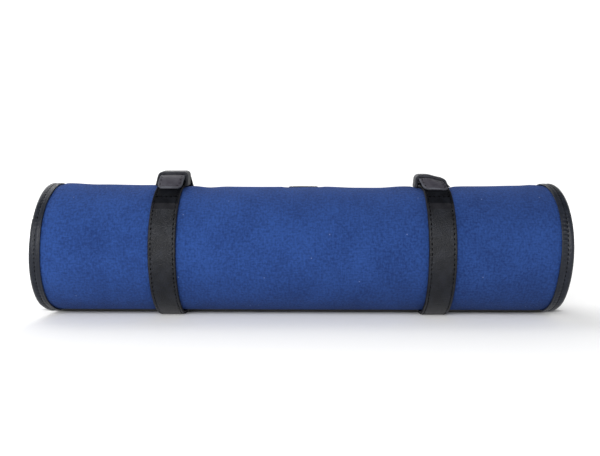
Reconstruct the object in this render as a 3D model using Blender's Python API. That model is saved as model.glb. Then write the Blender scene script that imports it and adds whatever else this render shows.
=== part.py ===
"""Brush roll case, rolled up and strapped shut, made as separate pieces.

The case is one long padded sheet (canvas outside, felt interlining, cotton lining, brush pockets and
a guard flap inside) wound in a spiral round an open core. Leather binding closes the sheet's edges,
and two leather straps run round the outside. The outer turn behind the roll is the opening flap: it
is cut into four strips that hinge on each other, and each strap's end is held on the top by a leather
keeper and a magnetic snap, with a pull tab in front.

The section lies in the YZ plane. A winding angle counts the degrees inwards from the leading edge of
the flap: it starts behind the top, runs down the back, under the roll, up the front and over the top.
"""

import math

import bpy
from mathutils import Matrix, Vector

MM = 0.001  # every length below is in millimetres, every angle in degrees

# The rolled sheet
ROLL_LENGTH = 370.0
LEADING_RADIUS = 51.03  # outside of the canvas at the leading edge
LEADING_ANGLE = 126.0  # 0 is the front, 90 the top, 180 the back and 270 the bottom
PITCH = 7.5  # the radius lost in one turn
WOUND = 840.0  # winding angle of the sheet's inner edge
STEP = 31.0 / 3  # facets of the sheets
GAP = 0.3  # between neighbouring pieces

# Layers of the sheet, from outside to inside
CANVAS = 1.0
INTERLINING = 1.2
LINING = 0.7
POCKET = 0.8
POCKET_TURNS = (150.0, 820.0)
POCKET_RANGE = (-176.0, 40.0)  # along the roll: it holds the brushes' handles
GUARD_TURNS = (152.0, 822.0)
GUARD_RANGE = (15.0, 176.0)  # along the roll: it folds over the bristles

# Leather edge binding, a U over the sheet's edges
BINDING = 1.2
BINDING_WIDTH = 8.0

# Leather straps
STRAP_CENTRES = {"left": -94.0, "right": 97.0}
STRAP_WIDTH = 19.0
STRAP = 2.2
STRAP_STEP = 5.0
STRAP_TOP_ANGLE = 95.0  # where the front strap ends, under the snap
RAMP = (18.0, 11.0)  # winding angles between which the strap climbs onto the leading edge's binding

# Opening flap
FLAP_STRIPS = 4
FLAP_WOUND = 124.0  # winding angle of the flap's root, behind the bottom
HINGE_GAP = 0.4  # degrees left open between two strips

# Snap, keeper and pull tab
SNAP_ANGLE = 83.0
SNAP_RADIUS = 7.0
SNAP = 1.1
SNAP_SIDES = 24
KEEPER = 1.6
KEEPER_LOWER = 1.5
KEEPER_WIDTH = 12.0
KEEPER_CORNER = 1.4
TAIL_STEPS = 6
TAB_LENGTH = 15.0
TAB_WIDTH = 17.6
TAB_STEPS = 10
TAB_BEND = 46.0
TAB_BEND_LENGTH = 9.0
TAB_CORNER = 4.0

# Blank leather patch on the top
PATCH_CENTRE = 2.0
PATCH_WIDTH = 22.0
PATCH_THICKNESS = 1.0
PATCH_ANGLES = (95.0, 113.0)
PATCH_STEPS = 3

# Worked out from the sizes above
SHEET = CANVAS + GAP + INTERLINING + GAP + LINING
BINDING_PROUD = GAP + BINDING
STRAP_PROUD = GAP + STRAP
BOTTOM_ANGLE = 270.0
FLAT_DEPTH = 1.02  # how far the rounds of the straps are pressed flat where the case rests


def canvas_radius(wound):
    return LEADING_RADIUS - PITCH * wound / 360


REST_HEIGHT = canvas_radius(BOTTOM_ANGLE - LEADING_ANGLE) + STRAP_PROUD - FLAT_DEPTH
FRONT_REACH = canvas_radius(360 - LEADING_ANGLE) + STRAP_PROUD
BACK_REACH = canvas_radius(180 - LEADING_ANGLE) + STRAP_PROUD
AXIS = Vector(((FRONT_REACH - BACK_REACH) / 2, REST_HEIGHT))  # y and z of the roll's axis

MATERIALS = {
    "canvas": ((0.036, 0.078, 0.275), 0.92, 0.0),
    "lining": ((0.030, 0.032, 0.040), 0.90, 0.0),
    "felt": ((0.320, 0.320, 0.310), 1.00, 0.0),
    "leather": ((0.012, 0.012, 0.015), 0.48, 0.0),
    "steel": ((0.200, 0.200, 0.210), 0.30, 1.0),
}


def clear_scene():
    for item in list(bpy.data.objects):
        bpy.data.objects.remove(item, do_unlink=True)


def material(name):
    found = bpy.data.materials.get(name)
    if found:
        return found
    colour, roughness, metallic = MATERIALS[name]
    made = bpy.data.materials.new(name)
    made.use_nodes = True
    shader = made.node_tree.nodes["Principled BSDF"]
    shader.inputs["Base Color"].default_value = (*colour, 1)
    shader.inputs["Roughness"].default_value = roughness
    shader.inputs["Metallic"].default_value = metallic
    made.diffuse_color = (*colour, 1)
    return made


def radial(angle):
    turned = math.radians(angle)
    return Vector((-math.cos(turned), math.sin(turned)))


def forward(angle):
    """The way along the section from the back over the top to the front."""
    turned = math.radians(angle)
    return Vector((-math.sin(turned), -math.cos(turned)))


def pressed(wound):
    """How far the sheet is pushed in under the roll, so that the straps lie flat there."""
    off_bottom = LEADING_ANGLE + wound - BOTTOM_ANGLE
    if abs(off_bottom) > 45:
        return 0.0
    strap_face = canvas_radius(wound) + STRAP_PROUD
    return max(0.0, strap_face - REST_HEIGHT / math.cos(math.radians(off_bottom)))


def sheet_frame(wound, proud=0.0):
    """A point of the canvas's outer face in the section, and the way out of it."""
    out = radial(LEADING_ANGLE + wound)
    return AXIS + out * (canvas_radius(wound) - pressed(wound) + proud), out


def spread(start, stop, step):
    """Evenly spaced values from start to stop, no further apart than the step."""
    count = max(1, math.ceil(abs(stop - start) / step - 1e-6))
    return [start + (stop - start) * i / count for i in range(count + 1)]


def finished(name, vertices, faces, slot):
    mesh = bpy.data.meshes.new(name)
    mesh.from_pydata([Vector(v) * MM for v in vertices], [], faces)
    mesh.validate()
    mesh.materials.append(material(slot))
    made = bpy.data.objects.new(name, mesh)
    bpy.context.scene.collection.objects.link(made)
    mesh.shade_smooth()
    mesh.set_sharp_from_angle(angle=math.radians(30))
    return made


def sweep(name, sections, frames, slot, closed=False):
    """A solid from a section carried along frames. A section is a ring of (x, out) points, listed
    so that it runs clockwise for someone who looks along the sweep; it may change at each frame."""
    vertices = []
    for (origin, out), section in zip(frames, sections):
        for x, offset in section:
            point = origin + out * offset
            vertices.append((x, point.x, point.y))
    ring = len(sections[0])
    count = len(frames)
    faces = []
    for i in range(count if closed else count - 1):
        here, there = i * ring, (i + 1) % count * ring
        for j in range(ring):
            k = (j + 1) % ring
            faces.append((here + j, here + k, there + k, there + j))
    if not closed:
        faces.append(tuple(reversed(range(ring))))
        faces.append(tuple(range((count - 1) * ring, count * ring)))
    return finished(name, vertices, faces, slot)


def rectangle(low, high, inner, outer):
    return [(low, inner), (high, inner), (high, outer), (low, outer)]


def wound_piece(name, section, start, stop, slot, step=STEP):
    """A piece of the rolled sheet between two winding angles, from the inner one outwards."""
    frames = [sheet_frame(wound) for wound in spread(stop, start, step)]
    return sweep(name, [section] * len(frames), frames, slot)


def layer_section(depth, thickness, low=-ROLL_LENGTH / 2 + GAP + BINDING, high=None):
    high = -low if high is None else high
    return rectangle(low, high, -depth - thickness, -depth)


def edge_section(side):
    """The U of an edge binding, open towards the middle of the roll."""
    tip = side * ROLL_LENGTH / 2
    inside = tip - side * BINDING
    leg = tip - side * BINDING_WIDTH
    outer, inner = BINDING_PROUD, -SHEET - BINDING_PROUD
    ring = [
        (tip, outer),
        (tip, inner),
        (leg, inner),
        (leg, inner + BINDING),
        (inside, inner + BINDING),
        (inside, outer - BINDING),
        (leg, outer - BINDING),
        (leg, outer),
    ]
    return ring if side < 0 else ring[::-1]


def sheet_layers(prefix, suffix, start, stop):
    """Canvas, interlining, lining and both edge bindings of one stretch of the sheet."""
    felt_depth = CANVAS + GAP
    lining_depth = felt_depth + INTERLINING + GAP
    made = [
        wound_piece(f"{prefix}canvas{suffix}", layer_section(0, CANVAS), start, stop, "canvas"),
        wound_piece(
            f"{prefix}interlining{suffix}", layer_section(felt_depth, INTERLINING), start, stop, "felt"
        ),
        wound_piece(
            f"{prefix}lining{suffix}", layer_section(lining_depth, LINING), start, stop, "lining"
        ),
    ]
    for name, side in (("left", -1), ("right", 1)):
        full = f"{name}_{prefix}edge_binding{suffix}"
        made.append(wound_piece(full, edge_section(side), start, stop, "leather"))
    return made


def cross_binding(name, edge, towards):
    """The U over the leading or the inner edge, from one edge binding to the other. Towards is 1
    where the sheet goes on at growing winding angles and -1 where it goes on at falling ones."""
    radius = canvas_radius(edge)
    per_mm = math.degrees(1 / radius) * towards
    leg = edge + per_mm * BINDING_WIDTH
    lip = edge - per_mm * (GAP + BINDING)
    inside = edge - per_mm * GAP
    outer, inner = BINDING_PROUD, -SHEET - BINDING_PROUD
    rings = [
        [(wound, outer) for wound in (leg, (leg + edge) / 2, edge, lip)],
        [(wound, inner) for wound in (lip, edge, (leg + edge) / 2, leg)],
        [(wound, inner + BINDING) for wound in (leg, (leg + edge) / 2, inside)],
        [(wound, outer - BINDING) for wound in (inside, (leg + edge) / 2, leg)],
    ]
    outline = [sheet_frame(wound, proud)[0] for ring in rings for wound, proud in ring]
    if towards < 0:
        outline.reverse()
    reach = ROLL_LENGTH / 2 - BINDING_WIDTH - GAP
    count = len(outline)
    vertices = [(x, p.x, p.y) for x in (-reach, reach) for p in outline]
    faces = [(i, (i + 1) % count, count + (i + 1) % count, count + i) for i in range(count)]
    faces.append(tuple(reversed(range(count))))
    faces.append(tuple(range(count, 2 * count)))
    return finished(name, vertices, faces, "leather")


def strap_section(side, width=STRAP_WIDTH):
    centre = STRAP_CENTRES[side]
    return rectangle(centre - width / 2, centre + width / 2, GAP, STRAP_PROUD)


def strap_piece(name, side, start, stop):
    return wound_piece(name, strap_section(side), start, stop, "leather", STRAP_STEP)


def ramp_height(wound):
    start, end = RAMP
    share = min(1.0, max(0.0, (start - wound) / (start - end)))
    return BINDING_PROUD * share * share * (3 - 2 * share)


# Places of the snap stack, as heights over the roll's axis at the snap
SNAP_WOUND = SNAP_ANGLE + 360 - LEADING_ANGLE
BASE_BOTTOM = canvas_radius(SNAP_WOUND) + STRAP_PROUD + GAP
CAP_BOTTOM = BASE_BOTTOM + SNAP + GAP
KEEPER_BOTTOM = CAP_BOTTOM + SNAP + GAP
TAIL_MIDDLE = KEEPER_BOTTOM + KEEPER_LOWER + GAP + STRAP / 2
KEEPER_TOP = TAIL_MIDDLE + STRAP / 2 + GAP + KEEPER
SNAP_OUT = radial(SNAP_ANGLE)
SNAP_FORWARD = forward(SNAP_ANGLE)
TAIL_END = KEEPER_WIDTH / 2 + 0.2  # ahead of the snap's middle
TAB_START = TAIL_END + GAP


def tail_frames():
    """The strap from the last strip's hinge over the leading edge and through the keeper."""
    last_strip = FLAP_WOUND / FLAP_STRIPS
    middle = GAP + STRAP / 2
    frames = [
        sheet_frame(wound, middle + ramp_height(wound))
        for wound in spread(last_strip - HINGE_GAP / 2, 0.0, STRAP_STEP)
    ]
    start, start_out = frames[-1]
    start_way = forward(LEADING_ANGLE)
    end = AXIS + SNAP_OUT * TAIL_MIDDLE - SNAP_FORWARD * TAIL_END
    reach = (end - start).length / 3
    handle_out = start + start_way * reach
    handle_in = end - SNAP_FORWARD * reach
    for i in range(1, TAIL_STEPS + 1):
        t = i / TAIL_STEPS
        u = 1 - t
        point = start * u**3 + handle_out * 3 * u * u * t + handle_in * 3 * u * t * t + end * t**3
        way = (handle_out - start) * u * u + (handle_in - handle_out) * 2 * u * t + (end - handle_in) * t * t
        frames.append((point, Vector((way.y, -way.x)).normalized()))
    frames.append((end + SNAP_FORWARD * 2 * TAIL_END, SNAP_OUT))
    return frames


def tail(side):
    """The last stretch of a strap, riding on the flap's last strip."""
    centre = STRAP_CENTRES[side]
    section = rectangle(centre - STRAP_WIDTH / 2, centre + STRAP_WIDTH / 2, -STRAP / 2, STRAP / 2)
    frames = tail_frames()
    return sweep(f"{side}_strap_tail", [section] * len(frames), frames, "leather")


def tab_hinge():
    """The line where the pull tab bends: the strap's outer face, just ahead of the keeper."""
    return AXIS + SNAP_OUT * (TAIL_MIDDLE + STRAP / 2) + SNAP_FORWARD * TAB_START


def pull_tab(side):
    """The free end of the strap, bent down over the front strap, with rounded corners."""
    centre = STRAP_CENTRES[side]
    point = AXIS + SNAP_OUT * TAIL_MIDDLE + SNAP_FORWARD * TAB_START
    step = TAB_LENGTH / TAB_STEPS
    frames, sections = [], []
    for i in range(TAB_STEPS + 1):
        along = i * step
        angle = SNAP_ANGLE - TAB_BEND * min(1.0, along / TAB_BEND_LENGTH)
        to_end = TAB_LENGTH - along
        cut = max(0.0, TAB_CORNER - to_end)
        half = TAB_WIDTH / 2 - TAB_CORNER + math.sqrt(TAB_CORNER**2 - cut**2)
        frames.append((point.copy(), radial(angle)))
        sections.append(rectangle(centre - half, centre + half, -STRAP / 2, STRAP / 2))
        middle_angle = SNAP_ANGLE - TAB_BEND * min(1.0, (along + step / 2) / TAB_BEND_LENGTH)
        point += forward(middle_angle) * step
    return sweep(f"{side}_pull_tab", sections, frames, "leather")


def keeper(side):
    """A closed leather loop round the strap, with a rounded rectangle for its path."""
    centre = STRAP_CENTRES[side]
    half_width = STRAP_WIDTH / 2 + GAP + KEEPER
    middle = (KEEPER_TOP + KEEPER_BOTTOM) / 2
    half_height = (KEEPER_TOP - KEEPER_BOTTOM) / 2
    corners = [(1, 1), (-1, 1), (-1, -1), (1, -1)]
    outer, inner = [], []
    for index, (x_side, up_side) in enumerate(corners):
        thickness = KEEPER if up_side > 0 else KEEPER_LOWER
        for part in range(4):
            turned = math.radians(90 * index + 30 * part)
            curve = KEEPER_CORNER * math.cos(turned), KEEPER_CORNER * math.sin(turned)
            outer.append(
                (
                    centre + x_side * (half_width - KEEPER_CORNER) + curve[0],
                    middle + up_side * (half_height - KEEPER_CORNER) + curve[1],
                )
            )
            inner.append(
                (
                    centre + x_side * (half_width - KEEPER),
                    middle + up_side * (half_height - thickness),
                )
            )
    return loop_solid(f"{side}_keeper", outer, inner)


def loop_solid(name, outer, inner):
    """A flat loop between two outlines in the snap's own frame, as deep as the keeper is wide."""
    inner = [inner[i] for i in range(0, len(inner), 4)]
    vertices = []
    for along in (-KEEPER_WIDTH / 2, KEEPER_WIDTH / 2):
        for x, height in outer + inner:
            point = AXIS + SNAP_OUT * height + SNAP_FORWARD * along
            vertices.append((x, point.x, point.y))
    rim, hole = len(outer), len(inner)
    total = rim + hole
    faces = []
    for i in range(rim):
        j = (i + 1) % rim
        faces.append((i, j, total + j, total + i))
        a, b = rim + i // 4, rim + j // 4
        back = (j, i, a) if a == b else (j, i, a, b)
        faces.append(back)
        faces.append(tuple(total + k for k in reversed(back)))
    for i in range(hole):
        j = (i + 1) % hole
        faces.append((rim + i, total + rim + i, total + rim + j, rim + j))
    return finished(name, vertices, faces, "leather")


def snap_disc(name, side, bottom):
    """One flat disc of a magnetic snap, square to the roll's radius at the snap."""
    bpy.ops.mesh.primitive_cylinder_add(
        vertices=SNAP_SIDES, radius=SNAP_RADIUS * MM, depth=SNAP * MM
    )
    made = bpy.context.object
    made.name = made.data.name = name
    middle = AXIS + SNAP_OUT * (bottom + SNAP / 2)
    place = Matrix.Translation(Vector((STRAP_CENTRES[side], middle.x, middle.y)) * MM)
    made.data.transform(place @ Matrix.Rotation(math.radians(90 - SNAP_ANGLE), 4, "X"))
    made.data.materials.append(material("steel"))
    made.data.shade_smooth()
    made.data.set_sharp_from_angle(angle=math.radians(30))
    return made


def top_patch():
    """A blank leather patch stitched to the canvas, just behind the top."""
    low, high = (angle + 360 - LEADING_ANGLE for angle in PATCH_ANGLES)
    section = rectangle(
        PATCH_CENTRE - PATCH_WIDTH / 2, PATCH_CENTRE + PATCH_WIDTH / 2, GAP, GAP + PATCH_THICKNESS
    )
    return wound_piece("top_patch", section, low, high, "leather", (high - low) / PATCH_STEPS)


def hang(pieces, empty):
    """Puts pieces on a joint's empty, with their origins on it."""
    shift = Matrix.Translation(-world_place(empty))
    for piece in pieces:
        piece.data.transform(shift)
        piece.parent = empty


def world_place(empty):
    place = Vector((0, 0, 0))
    while empty:
        place = place + empty.location
        empty = empty.parent
    return place


def joint_empty(name, point, parent=None):
    made = bpy.data.objects.new(name, None)
    bpy.context.scene.collection.objects.link(made)
    made.parent = parent
    made.location = Vector((0, point.x, point.y)) * MM - world_place(parent)
    return made


def strip_hinge(wound):
    """Where two strips bend apart: the straps' outer face, so that unrolling only opens gaps."""
    return sheet_frame(wound, STRAP_PROUD)[0]


def roll_body():
    start = FLAP_WOUND + HINGE_GAP / 2
    sheet_layers("", "", start, WOUND)
    pocket_depth = SHEET + GAP
    guard_depth = pocket_depth + POCKET + GAP
    pocket = layer_section(pocket_depth, POCKET, *POCKET_RANGE)
    guard = layer_section(guard_depth, POCKET, *GUARD_RANGE)
    wound_piece("pocket_panel", pocket, *POCKET_TURNS, "canvas")
    wound_piece("brush_guard", guard, *GUARD_TURNS, "canvas")
    cross_binding("inner_edge_binding", WOUND, -1)
    top_patch()
    for side in STRAP_CENTRES:
        strap_piece(f"{side}_front_strap", side, start, STRAP_TOP_ANGLE + 360 - LEADING_ANGLE)
        snap_disc(f"{side}_snap_base", side, BASE_BOTTOM)


def flap_strip(number, empty):
    """One strip of the flap, numbered from the roll to the leading edge."""
    width = FLAP_WOUND / FLAP_STRIPS
    stop = FLAP_WOUND - (number - 1) * width - HINGE_GAP / 2
    is_last = number == FLAP_STRIPS
    start = 0.0 if is_last else stop - width + HINGE_GAP
    pieces = sheet_layers("flap_", f"_{number}", start, stop)
    if is_last:
        pieces.append(cross_binding("leading_edge_binding", 0.0, 1))
    for side in STRAP_CENTRES:
        if is_last:
            pieces += [tail(side), keeper(side), snap_disc(f"{side}_snap_cap", side, CAP_BOTTOM)]
        else:
            pieces.append(strap_piece(f"{side}_back_strap_{number}", side, start, stop))
    hang(pieces, empty)


def main():
    clear_scene()
    roll_body()
    empty = None
    for number in range(1, FLAP_STRIPS + 1):
        wound = FLAP_WOUND * (1 - (number - 1) / FLAP_STRIPS)
        empty = joint_empty(f"flap_hinge_{number}", strip_hinge(wound), empty)
        flap_strip(number, empty)
    for side in STRAP_CENTRES:
        hinge = joint_empty(f"{side}_tab_hinge", tab_hinge(), empty)
        hang([pull_tab(side)], hinge)


main()
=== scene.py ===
"""Looks of the brush roll case: fine meshes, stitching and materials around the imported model.

Lengths are in millimetres and angles in degrees, as in the part's own source, until a mesh is made.
A winding angle counts inwards along the rolled sheet from the leading edge of the flap, which lies
behind the top: down the back, under the roll, up the front and over the top.
"""

import math

import bpy
import numpy as np
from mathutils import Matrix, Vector


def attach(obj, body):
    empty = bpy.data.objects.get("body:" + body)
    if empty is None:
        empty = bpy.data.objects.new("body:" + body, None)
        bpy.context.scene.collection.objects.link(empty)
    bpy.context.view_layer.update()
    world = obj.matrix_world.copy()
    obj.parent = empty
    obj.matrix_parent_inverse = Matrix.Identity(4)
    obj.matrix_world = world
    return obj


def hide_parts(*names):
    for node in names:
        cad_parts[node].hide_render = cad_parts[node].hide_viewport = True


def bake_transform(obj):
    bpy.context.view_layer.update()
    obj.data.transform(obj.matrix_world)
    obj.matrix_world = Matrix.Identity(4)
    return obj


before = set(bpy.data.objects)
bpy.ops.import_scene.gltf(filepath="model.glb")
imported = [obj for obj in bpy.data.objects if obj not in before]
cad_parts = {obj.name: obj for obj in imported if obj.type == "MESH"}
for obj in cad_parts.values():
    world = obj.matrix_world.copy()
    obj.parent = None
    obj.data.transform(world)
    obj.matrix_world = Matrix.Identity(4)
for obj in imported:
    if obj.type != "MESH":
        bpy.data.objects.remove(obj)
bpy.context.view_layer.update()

MM = 0.001
UV_NAME = "Surface"

# Sizes repeated from the part's source
ROLL_LENGTH = 370.0
LEADING_RADIUS = 51.03
LEADING_ANGLE = 126.0
PITCH = 7.5
WOUND = 840.0
GAP = 0.3
CANVAS = 1.0
INTERLINING = 1.2
LINING = 0.7
POCKET = 0.8
POCKET_TURNS = (150.0, 820.0)
POCKET_RANGE = (-176.0, 40.0)
GUARD_TURNS = (152.0, 822.0)
GUARD_RANGE = (15.0, 176.0)
BINDING = 1.2
BINDING_WIDTH = 8.0
STRAP_CENTRES = {"left": -94.0, "right": 97.0}
STRAP_WIDTH = 19.0
STRAP = 2.2
STRAP_TOP_ANGLE = 95.0
RAMP = (18.0, 11.0)
FLAP_STRIPS = 4
FLAP_WOUND = 124.0
SNAP_ANGLE = 83.0
SNAP_RADIUS = 7.0
SNAP = 1.1
KEEPER = 1.6
KEEPER_LOWER = 1.5
KEEPER_WIDTH = 12.0
TAB_LENGTH = 15.0
TAB_WIDTH = 17.6
TAB_BEND = 46.0
TAB_BEND_LENGTH = 9.0
TAB_CORNER = 4.0
PATCH_CENTRE = 2.0
PATCH_WIDTH = 22.0
PATCH_THICKNESS = 1.0
PATCH_ANGLES = (95.0, 113.0)
SHEET = CANVAS + GAP + INTERLINING + GAP + LINING
BINDING_PROUD = GAP + BINDING
STRAP_PROUD = GAP + STRAP
BOTTOM_ANGLE = 270.0
FLAT_DEPTH = 1.02

# Looks
STRIP_WOUND = FLAP_WOUND / FLAP_STRIPS
FINE_STEP = 2.5  # winding angle between rings of the outer turn's cloth
COARSE_STEP = 5.2  # the same inside the roll
INNER_TURN = 372.0  # winding angle from which the sheet is hidden by the outer turn
THREAD_SLOT = 1  # the material slot of the thread on every sewn piece
EDGE_SLOT = 2  # of the leather on a strap's cut edges
TAB_SHADOW_SLOT = 3  # and of the strap's face under the closure, painted dark as the shadow of the tab and keeper
STITCH = 2.5  # length of a stitch
STITCH_PITCH = 3.3
BINDING_STITCH_PITCH = 3.0
THREAD_RADIUS = 0.32
THREAD_SIDE = 0.4  # width of each of the thread's six sides
BINDING_THREAD = {"length": 2.1, "radius": 0.26, "sink": 0.3}
EDGE_STITCHES = 1.9  # from a strap's edge to its stitching
STITCH_SLANT = 0.12
STRAP_ROWS = STRAP_WIDTH / 2 - EDGE_STITCHES
CROSS_ROW = 284.5  # winding angle of the row of stitches across each front strap
MATT_REACH = 15.0  # winding angle over which a strap's face grows matt towards the closure, leading into its painted shadow
# winding angle before the cross row from which the strap's face is painted dark as the tab's shadow
TAB_SHADOW_REACH = 9.0
LINT_SPACING = 15.0
FLAT_THREAD = 0.35  # how flat a thread lies on its way over the next one
PATCH_SUNK = 0.5  # how far the patch is sewn into the soft canvas
PRESSED_REACH = 45.0  # angle either side of the bottom over which the roll's weight presses it
OUTER_TURN_END = 365.0  # winding angle from which the swells and skews of the outer turn fade
OUTER_TURN_FADE = 130.0
STRAP_DENT, DENT_RIM = 0.35, 0.25  # how deep a strap presses in, and how high the cloth beside it
BOTTOM_LIFT, END_LIFT = 0.9, 0.3  # how far the cloth is drawn up under the roll, and more at its ends
STRAP_STEP = 1.6  # winding angle between the rings of a strap


def smooth(value):
    value = np.clip(value, 0.0, 1.0)
    return value * value * (3 - 2 * value)


def bell(value, middle, width):
    """A bump of height 1 that falls off on both sides of its middle."""
    return np.exp(-(((value - middle) / width) ** 2))


def canvas_radius(wound):
    return LEADING_RADIUS - PITCH * wound / 360


REST_HEIGHT = canvas_radius(BOTTOM_ANGLE - LEADING_ANGLE) + STRAP_PROUD - FLAT_DEPTH
FRONT_REACH = canvas_radius(360 - LEADING_ANGLE) + STRAP_PROUD
BACK_REACH = canvas_radius(180 - LEADING_ANGLE) + STRAP_PROUD
AXIS = np.array([(FRONT_REACH - BACK_REACH) / 2, REST_HEIGHT])  # y and z of the roll's axis


def radial(angle):
    turned = np.radians(angle)
    return np.stack([-np.cos(turned), np.sin(turned)], -1)


def forward(angle):
    """The way along the section from the back over the top to the front."""
    turned = np.radians(angle)
    return np.stack([-np.sin(turned), -np.cos(turned)], -1)


def out_at(wound):
    """The way out of the roll at a winding angle."""
    return radial(LEADING_ANGLE + wound)


def arc(wound):
    """Length along the canvas from the leading edge to a winding angle."""
    return np.radians(LEADING_RADIUS * wound - PITCH * wound * wound / 720)


def wound_at(length):
    """The winding angle at a length along the canvas."""
    share = 1 - 2 * PITCH * np.degrees(length) / (360 * LEADING_RADIUS**2)
    return (1 - np.sqrt(share)) * 360 * LEADING_RADIUS / PITCH


def pressed(wound):
    """How far the sheet is pushed in under the roll, so that the straps lie flat there."""
    off_bottom = LEADING_ANGLE + wound - BOTTOM_ANGLE
    strap_face = canvas_radius(wound) + STRAP_PROUD
    turned = np.radians(np.clip(off_bottom, -PRESSED_REACH, PRESSED_REACH))
    push = strap_face - REST_HEIGHT / np.cos(turned)
    return np.where(np.abs(off_bottom) > PRESSED_REACH, 0.0, np.maximum(push, 0.0))


# How far the roll's top swells and dips: place along the roll, height
FLARE = [(-185, 1.2), (-181, 1.5), (-178, 1.4), (-172, 2.9), (-150, 1.7), (-118, 1.2), (-78, 0.3)]
FLARE += [(-67, -0.5), (-55, 0.2), (-14, 0.2), (-9, -0.4), (13, -0.4), (18, 0.0), (40, -0.7)]
FLARE += [(58, -0.8), (75, 0.1), (90, 0.2), (100, 0.0), (109, 0.2), (122, 0.5), (135, 0.5)]
FLARE += [(160, 0.8), (171, 1.4), (177, 0.7), (181, 0.8), (185, 0.6)]

# Places on the closures
SNAP_WOUND = SNAP_ANGLE + 360 - LEADING_ANGLE
SUNK = {"left": 0.0, "right": 1.4}  # how far the pulled strap presses into the roll there


def sink(wound):
    """Where the closures press into the roll."""
    return smooth(1 - np.abs(wound - SNAP_WOUND) / 32)


def flare(x):
    places, heights = np.array(FLARE, float).T
    index = np.clip(np.searchsorted(places, x) - 1, 0, len(places) - 2)
    share = smooth((x - places[index]) / (places[index + 1] - places[index]))
    return heights[index] + (heights[index + 1] - heights[index]) * share


def outer_turn(wound):
    return 1 - smooth((wound - OUTER_TURN_END) / OUTER_TURN_FADE)


def swell(x, wound):
    """How far the soft sheet stands off its plain spiral."""
    angle = np.radians(LEADING_ANGLE + wound)
    upper = 0.5 + 0.5 * np.sin(angle)
    off_bottom = smooth((1 + np.sin(angle)) / 0.4)
    waves = 0.20 * np.sin(x / 29 + 1.9 * np.sin(wound / 41) + 0.7) * np.sin(wound / 19 + 1.1)
    waves += 0.10 * np.sin(x / 11.7 - wound / 23 + 2.0) * np.cos(wound / 13 + 0.3)
    dents = 0.0
    for side, centre in STRAP_CENTRES.items():
        off = np.abs(x - centre) - STRAP_WIDTH / 2
        dents = dents - STRAP_DENT * smooth((3 - off) / 3) + DENT_RIM * bell(off, 6, 4)
        dents = dents - SUNK[side] * sink(wound) * bell(np.maximum(off, 0), 0, 6)
    lift = BOTTOM_LIFT + END_LIFT * smooth((np.abs(x) - 171) / 6)
    lift = lift * smooth((-np.sin(angle) - 0.75) / 0.25)
    return outer_turn(wound) * (upper * flare(x) + off_bottom * (waves + dents) - lift)


def skew(x, wound):
    """How far the outer turn's ends are out of square."""
    turned = np.radians(2 * (LEADING_ANGLE + wound))
    right = 0.45 * np.cos(turned) + 0.4 * np.sin(turned) - 0.1
    push = np.where(x < 0, 1.1 * np.sin(turned), right)
    return push * smooth((np.abs(x) - 110) / 70) * outer_turn(wound)


def wound_point(x, wound, height):
    """Points at a height over the canvas's outer face."""
    values = [np.asarray(value, float) for value in (x, wound, height)]
    x, wound, height = np.broadcast_arrays(*values)
    reach = canvas_radius(wound) - pressed(wound) + height + swell(x, wound)
    plane = AXIS + out_at(wound) * reach[..., None]
    return np.concatenate([(x + skew(x, wound))[..., None], plane], -1)


def spread(start, stop, step):
    count = max(1, math.ceil(abs(stop - start) / step - 1e-6))
    return np.linspace(start, stop, count + 1)


def unit(vectors):
    return vectors / np.maximum(np.linalg.norm(vectors, axis=-1, keepdims=True), 1e-12)


def newell(ring):
    """The way that a flat ring faces."""
    return unit(np.cross(ring, np.roll(ring, -1, 0)).sum(0))


def path_lengths(points):
    """Length along a path to each of its points."""
    steps = np.linalg.norm(np.diff(points, axis=0), axis=1)
    return np.concatenate([[0.0], np.cumsum(steps)])


def ring_lengths(ring):
    return path_lengths(np.concatenate([ring, ring[:1]]))


def stitch_middles(first, last, pitch):
    """The middles of the stitches between two lengths along a seam."""
    numbers = np.arange(math.ceil(first / pitch - 0.5), math.floor(last / pitch - 0.5) + 1)
    return (numbers + 0.5) * pitch


def quad_corners(count, ring):
    """The row, column and corners of each quad between rings, of which there are count."""
    i, j = np.meshgrid(np.arange(count - 1), np.arange(ring), indexing="ij")
    after = (j + 1) % ring
    return i, j, [(i, j), (i, after), (i + 1, after), (i + 1, j)]


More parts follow.
